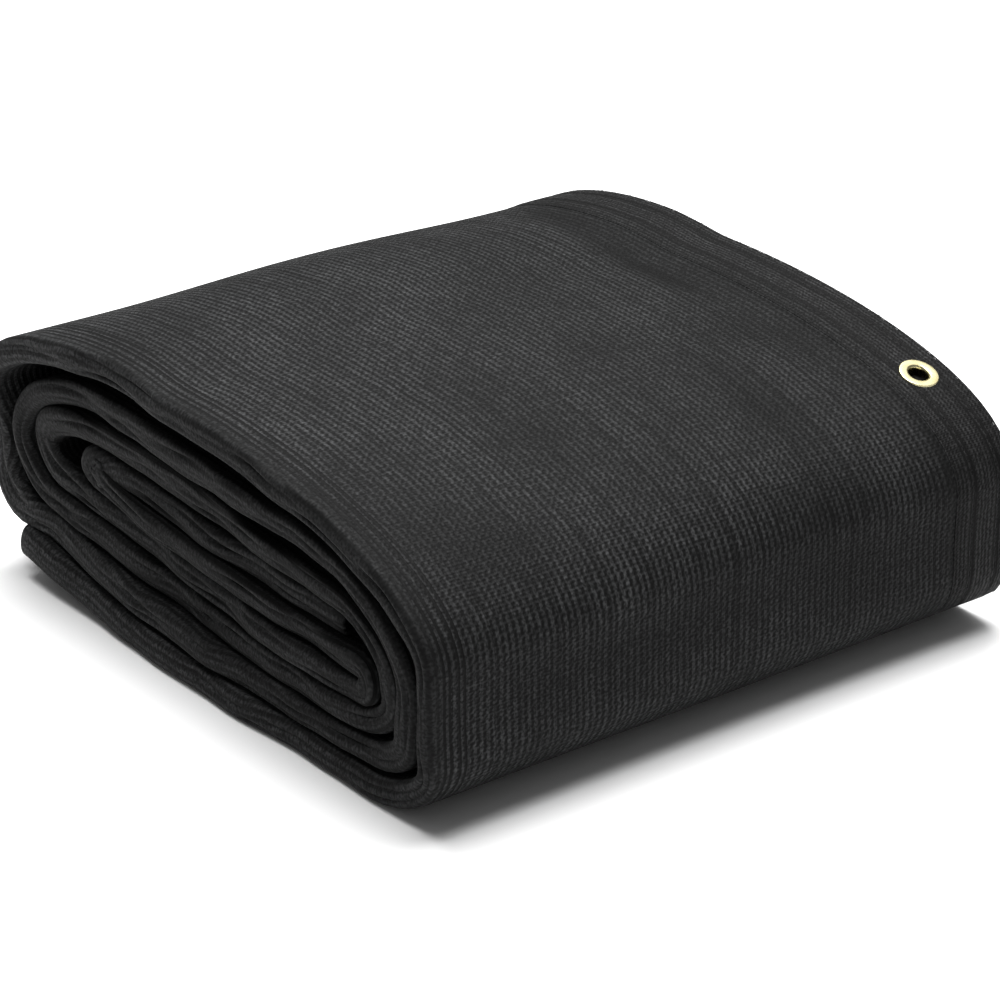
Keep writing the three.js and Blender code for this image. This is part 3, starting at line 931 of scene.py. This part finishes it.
hem_along = np.linspace(hem_start, hem_end, HEM_STATIONS)
hem_frame = [np.interp(hem_along, along, column) for column in (middle_y, middle_z, out_y, out_z, pitch)]
hem_y, hem_z, hem_out_y, hem_out_z, hem_pitch = hem_frame
hem_base = OUTER_PLY * hem_pitch - SHEET / 2 + HEM_LIFT
puckers = PUCKER * np.sin(2 * math.pi * hem_along / PUCKER_LENGTH)[:, None]
puckers = puckers * np.cos(hem_x / PUCKER_ACROSS)[None, :] * is_upper * (1 - taper)
hem_rise = hem_base[:, None] + (hem_n - GROOVE_DEPTH * groove * is_upper)[None, :] + puckers
hem_surface = np.stack([
    np.broadcast_to(hem_x + shift_x, hem_rise.shape),
    hem_y[:, None] + hem_rise * hem_out_y[:, None] + shift_y,
    hem_z[:, None] + hem_rise * hem_out_z[:, None],
], axis=-1) * MM
hem_steps = np.hypot(np.diff(hem_x), np.diff(hem_n))
hem_across = np.concatenate([np.cumsum(hem_steps[::-1])[::-1], [0]]) + hem_x[-1] - BUNDLE_DEPTH / 2
hem_uv = np.stack(np.broadcast_arrays(hem_across[None, :], hem_along[:, None]), axis=-1) * MM
# painted shade along the hem's inner edge, on the hem's upper layer
hem_marks = {"shade": (by_hem_edge(hem_x) * is_upper)[None, :]}
hem_mesh = sheet_mesh("hem", hem_surface, hem_thickness[None, :], hem_uv, hem_marks)
print("hem folded at", HEM_STATIONS, "stations")

# %% Finish of the hem
HEM_YARN = grey(0.0165, 0.01)
HEM_RIB, HEM_ROW = 2 / 3 * RIB, 0.6 * ROW
seams = [(line - EYELET_FROM_EDGE) * MM for line in STITCH_LINES]
hem_finish = knit_finish("hem_knit", HEM_RIB, HEM_ROW, HEM_YARN, HOLE, RELIEF, seams)
hem = shown_piece("hem", hem_mesh, hem_finish)
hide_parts("hem_strip")

# %% [markdown]
# The hole is cut with a Boolean: a plain cylinder on the eyelet's axis is taken out of both layers. The
# cutter is deleted once the result is applied. The brass covers the hole's rim.

# %% Cut the eyelet's hole
EYELET_HOLE_R = 6.0
EYELET_WALL = 0.8
CUTTER_HALF = 6.0
CUTTER_SIDES = 64

seat_frame = Matrix.Translation(seat) @ seat_axis.to_track_quat("Z", "X").to_matrix().to_4x4()
shape = bmesh.new()
bmesh.ops.create_cone(
    shape,
    cap_ends=True,
    segments=CUTTER_SIDES,
    radius1=(EYELET_HOLE_R + EYELET_WALL + CLEARANCE) * MM,
    radius2=(EYELET_HOLE_R + EYELET_WALL + CLEARANCE) * MM,
    depth=2 * CUTTER_HALF * MM,
    matrix=seat_frame,
)
cutter_mesh = bpy.data.meshes.new("cutter")
shape.to_mesh(cutter_mesh)
shape.free()
cutter = linked("cutter", cutter_mesh)
cut = hem.modifiers.new("hole", "BOOLEAN")
cut.operation = "DIFFERENCE"
cut.solver = "EXACT"
cut.object = cutter
bpy.context.view_layer.update()
hem_cut = bpy.data.meshes.new_from_object(hem.evaluated_get(bpy.context.evaluated_depsgraph_get()))
hem.modifiers.clear()
hem.data = hem_cut
bpy.data.objects.remove(cutter)
bpy.data.meshes.remove(cutter_mesh)
print("hem with its hole:", len(hem_cut.polygons), "faces,", [layer.name for layer in hem_cut.attributes])

# %% [markdown]
# The hem is sewn down with two lines of stitches, and small pale flecks show along its edge, where the cut
# yarn ends in loops. A stitch is a flattened ball that lies in its groove, and a loop is half a ring: a small
# circle spun through half a turn.

# %% Places on the hem, and thread
THREAD_TWIST_SCALE = 1800.0
THREAD_ROUGH = 0.8
THREAD_SHINE = 0.1
hem_columns = (hem_y, hem_z, hem_out_y, hem_out_z, hem_base)


def hem_frame_at(place, x, n):
    y, z, up_y, up_z, base = [float(np.interp(place, hem_along, column)) for column in hem_columns]
    rise = base + n
    origin = Vector((x + shift_x, y + rise * up_y + shift_y, z + rise * up_z)) * MM
    turned = Matrix(((1, 0, 0), (0, up_z, up_y), (0, -up_y, up_z))).to_4x4()
    return Matrix.Translation(origin) @ turned @ Matrix.Scale(MM, 4)


def hem_places(step):
    return np.arange(hem_along[0] + step, hem_along[-1] - step / 2, step)


def piece_mesh(name, shape):
    for face in shape.faces:
        face.smooth = True
    mesh = bpy.data.meshes.new(name)
    shape.to_mesh(mesh)
    shape.free()
    return mesh


def thread_finish(name, dark, light):
    wiring = Wiring(name)
    place = wiring.node("ShaderNodeTexCoord").outputs["Object"]
    twist = wiring.noise(place, THREAD_TWIST_SCALE, 1.0)
    colour = wiring.blend(twist, grey(dark), grey(light))
    return wiring.finish(Base_Color=colour, Roughness=THREAD_ROUGH, Specular_IOR_Level=THREAD_SHINE)


# %% Sew the stitches
STITCH_STEP = 5.5
STITCH_HALF = (0.42, 2.1, 0.3)
STITCH_PROUD = 0.1
EYELET_CLEAR = 14.0  # no stitch is this near to the eyelet's middle
BLACK_THREAD = (0.012, 0.024)


def stitches_mesh():
    shape = bmesh.new()
    stretch = Matrix.Diagonal((*STITCH_HALF, 1))
    for line in STITCH_LINES:
        for place in hem_places(STITCH_STEP):
            lies = hem_frame_at(place, eyelet_x + line, HEM_THICKNESS - GROOVE_DEPTH + STITCH_PROUD)
            if (lies.translation - seat).length > EYELET_CLEAR * MM:
                bmesh.ops.create_icosphere(shape, subdivisions=1, radius=1, matrix=lies @ stretch)
    return piece_mesh("hem_stitches", shape)


thread = thread_finish("black_thread", *BLACK_THREAD)
stitches = shown_piece("hem_stitches", stitches_mesh(), thread)

# %% Add the loops
LOOP_STEP = 3.7
LOOP_ASTRAY = 1.0
LOOP_RADII = (0.4, 1.0)
LOOP_THREAD = 0.17
LOOP_IN = (0.0, 1.8)
LOOP_SHARE = 0.5
LOOP_SIDES, LOOP_STEPS = 6, 8
LOOP_SEED = 7
PALE_THREAD = (0.1, 0.4)


def loops_mesh():
    shape = bmesh.new()
    uneven = np.random.default_rng(LOOP_SEED)
    for place in hem_places(LOOP_STEP):
        if uneven.random() > LOOP_SHARE:
            continue
        place = place + uneven.uniform(-LOOP_ASTRAY, LOOP_ASTRAY)
        middle = hem_frame_at(place, edge_x - uneven.uniform(*LOOP_IN), HEM_THICKNESS)
        aside = Matrix.Translation((0, -uneven.uniform(*LOOP_RADII), 0))
        start = middle @ (aside @ Matrix.Rotation(math.pi / 2, 4, "Y"))
        made = bmesh.ops.create_circle(shape, segments=LOOP_SIDES, radius=LOOP_THREAD, matrix=start)
        ring = made["verts"]
        edges = list({edge for vertex in ring for edge in vertex.link_edges})
        bmesh.ops.spin(
            shape,
            geom=ring + edges,
            cent=middle.translation,
            axis=middle.to_3x3().col[2],
            angle=math.pi,
            steps=LOOP_STEPS,
        )
    bmesh.ops.holes_fill(shape, edges=shape.edges, sides=LOOP_SIDES)
    bmesh.ops.recalc_face_normals(shape, faces=shape.faces)
    return piece_mesh("hem_loops", shape)


pale_thread = thread_finish("pale_thread", *PALE_THREAD)
loops = shown_piece("hem_loops", loops_mesh(), pale_thread)

# %% [markdown]
# ## The brass
# An eyelet is pressed from sheet brass: a low crown with a rounded rim on top, a throat that flares down into
# the barrel through the cloth, and a lip that is rolled over a washer below. Both are shapes of revolution,
# so each is a profile spun round the seat's axis.

# %% Profiles of the eyelet and its washer
EYELET_FLANGE_R = 11.25
EYELET_CROWN = 1.1
EYELET_EDGE = 1.03
EYELET_ROUND = 0.5
EYELET_THROAT = 5.6
THROAT_ROUND, THROAT_DEEP = 1.5, 1.9
EYELET_LIP = 0.7
EYELET_LIP_REACH = 1.4
WASHER_R = 11.0
DOME_POINTS = 8
LIP_POINTS = 7


def arc(radius, height, wide, high, start, end, count):
    angles = [math.radians(lerp(start, end, index / (count - 1))) for index in range(count)]
    return [(radius + wide * math.cos(angle), height + high * math.sin(angle)) for angle in angles]


def round_end(radius, low, thickness):
    half = thickness / 2
    return arc(radius - half, low + half, half, half, -90, 90, LIP_POINTS)


def eyelet_profile():
    barrel = EYELET_HOLE_R + EYELET_WALL
    lip_top = -(HEM_THICKNESS + WASHER_THICKNESS + 2 * CLEARANCE)
    lip_low = lip_top - EYELET_LIP
    rim = EYELET_FLANGE_R - EYELET_ROUND
    throat = EYELET_THROAT + THROAT_ROUND
    top = CLEARANCE + EYELET_EDGE
    lip_end = round_end(barrel + EYELET_LIP_REACH, lip_low, EYELET_LIP)
    outside = arc(rim, CLEARANCE, EYELET_ROUND, EYELET_EDGE, 0, 90, DOME_POINTS)
    inside = arc(throat, top - THROAT_DEEP, THROAT_ROUND, THROAT_DEEP, 90, 180, DOME_POINTS)
    crown = [((rim + throat) / 2, CLEARANCE + EYELET_CROWN)]
    below = [(EYELET_HOLE_R, lip_low), *lip_end, (barrel, lip_top), (barrel, CLEARANCE)]
    return [*below, *outside, *crown, *inside, (EYELET_HOLE_R, top - THROAT_DEEP - CLEARANCE)]


def washer_profile():
    inside = EYELET_HOLE_R + EYELET_WALL + CLEARANCE
    low = -(HEM_THICKNESS + CLEARANCE + WASHER_THICKNESS)
    rim = round_end(WASHER_R, low, WASHER_THICKNESS)
    return [(inside, low), *rim, (inside, low + WASHER_THICKNESS)]


print("profiles of", len(eyelet_profile()), "and", len(washer_profile()), "points")

# %% [markdown]
# The brass is pale and worn. A slow noise turns some of it duller, and a fine one gives it small marks that
# roughen its mirror.

# %% Spin the eyelet and its washer
SPIN_STEPS = 96
SEAM_MERGE = 0.01
BRASS_BRIGHT = (0.76, 0.7, 0.42, 1)
BRASS_DULL = (0.68, 0.6, 0.32, 1)
TARNISH_SCALE, TARNISH_RANGE = 180.0, (0.35, 0.75)
MARKS_SCALE, MARKS_DEEP, MARKS_STRENGTH = 2600.0, 0.05 * MM, 0.25
BRASS_ROUGH = (0.2, 0.3)


def spun(name, profile):
    shape = bmesh.new()
    ring = [shape.verts.new((radius * MM, 0, height * MM)) for radius, height in profile]
    edges = [shape.edges.new((ring[index - 1], ring[index])) for index in range(len(ring))]
    bmesh.ops.spin(
        shape,
        geom=ring + edges,
        cent=(0, 0, 0),
        axis=(0, 0, 1),
        angle=2 * math.pi,
        steps=SPIN_STEPS,
        use_merge=True,
    )
    bmesh.ops.remove_doubles(shape, verts=shape.verts, dist=SEAM_MERGE * MM)
    bmesh.ops.recalc_face_normals(shape, faces=shape.faces)
    bmesh.ops.transform(shape, matrix=seat_frame, verts=shape.verts)
    return piece_mesh(name, shape)


def brass_finish():
    wiring = Wiring("pale_brass")
    place = wiring.node("ShaderNodeTexCoord").outputs["Object"]
    tarnish = wiring.step(wiring.noise(place, TARNISH_SCALE, 3.0), *TARNISH_RANGE)
    marks = wiring.noise(place, MARKS_SCALE, 2.0)
    bump = wiring.node("ShaderNodeBump", Strength=MARKS_STRENGTH, Distance=MARKS_DEEP, Height=marks)
    return wiring.finish(
        Base_Color=wiring.blend(tarnish, BRASS_BRIGHT, BRASS_DULL),
        Metallic=1.0,
        Roughness=wiring.step(marks, *NOISE_RANGE, *BRASS_ROUGH),
        Normal=bump.outputs["Normal"],
    )


brass = brass_finish()
eyelet = shown_piece("brass_eyelet", spun("brass_eyelet", eyelet_profile()), brass)
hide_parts("eyelet")
washer = shown_piece("brass_washer", spun("brass_washer", washer_profile()), brass)
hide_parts("eyelet_washer")
